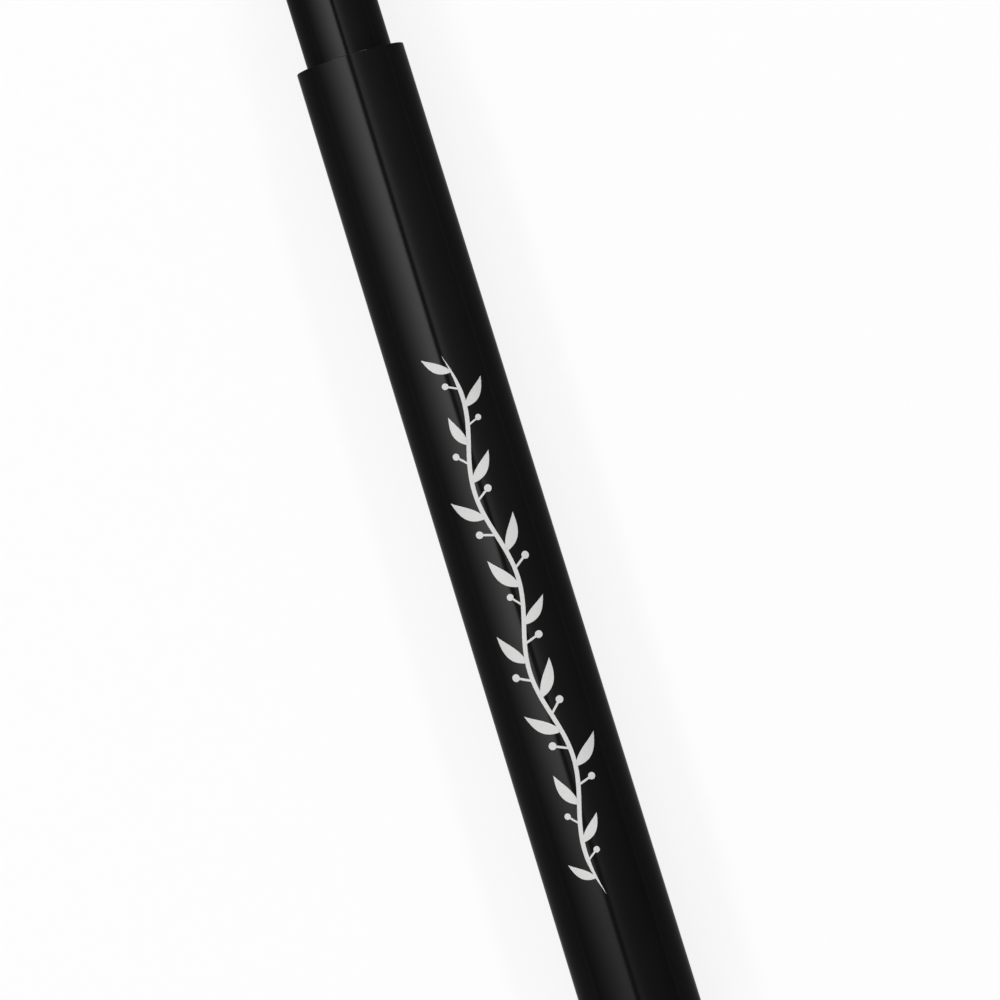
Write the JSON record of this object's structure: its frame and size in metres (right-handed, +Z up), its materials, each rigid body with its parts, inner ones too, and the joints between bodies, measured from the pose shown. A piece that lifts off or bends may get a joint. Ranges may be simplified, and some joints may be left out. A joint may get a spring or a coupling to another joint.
{
  "type": "liquid eyeliner pen",
  "caption": "Slim tapered cosmetic pen with a stepped neck, cone and felt tip, ink tank and finned collector inside, and a pull-off cap with a sprung inner cap.",
  "frame": {"origin": "on the surface that pen and cap lie on, at the middle of their joint length", "axes": "+X along the pen's axis towards the nib and the pulled-off cap, +Z up"},
  "size_m": [0.192, 0.0108, 0.0108],
  "materials": {
    "black_gloss": "high gloss moulded black",
    "natural_plastic": "natural milky polypropylene",
    "white_plastic": "satin moulded",
    "black_rubber": "matte",
    "red_rubber": "matte silicone",
    "grey_rubber": "matte elastomer",
    "ink_fibre": "bonded fibre soaked with black ink",
    "nib_felt": "ground felt wet with black ink",
    "bright_steel": "polished stainless steel",
    "spring_steel": "drawn stainless wire"
  },
  "bodies": {
    "pen": {"barrel": "black_gloss", "tail_plug": "black_gloss", "ink_tank": "natural_plastic", "tank_plug": "white_plastic", "tank_plug_ring": "black_rubber", "tank_gasket": "red_rubber", "front_section": "black_gloss", "collector": "white_plastic", "relay_core": "ink_fibre", "nib_sleeve": "white_plastic", "nib": "nib_felt"},
    "ball": {"mixing_ball": "bright_steel"},
    "cap": {"outer_cap": "black_gloss", "cap_crown": "black_gloss", "inner_cap_spring": "spring_steel"},
    "inner_cap": {"inner_cap": "natural_plastic", "inner_cap_seal": "grey_rubber"}
  },
  "joints": [
    {"name": "cap_slide", "type": "slide", "parent": "pen", "child": "cap", "axis": [1, 0, 0], "range_m": [-0.04995, 0.02]},
    {"name": "inner_cap_slide", "type": "slide", "parent": "cap", "child": "inner_cap", "axis": [1, 0, 0], "range_m": [0, 0.0015], "stiffness_N_per_m": 300, "springref_m": -0.001, "deforming": ["inner_cap_spring"]},
    {"name": "ball_slide", "type": "slide", "parent": "pen", "child": "ball", "axis": [1, 0, 0], "range_m": [0, 0.0508]}
  ]
}
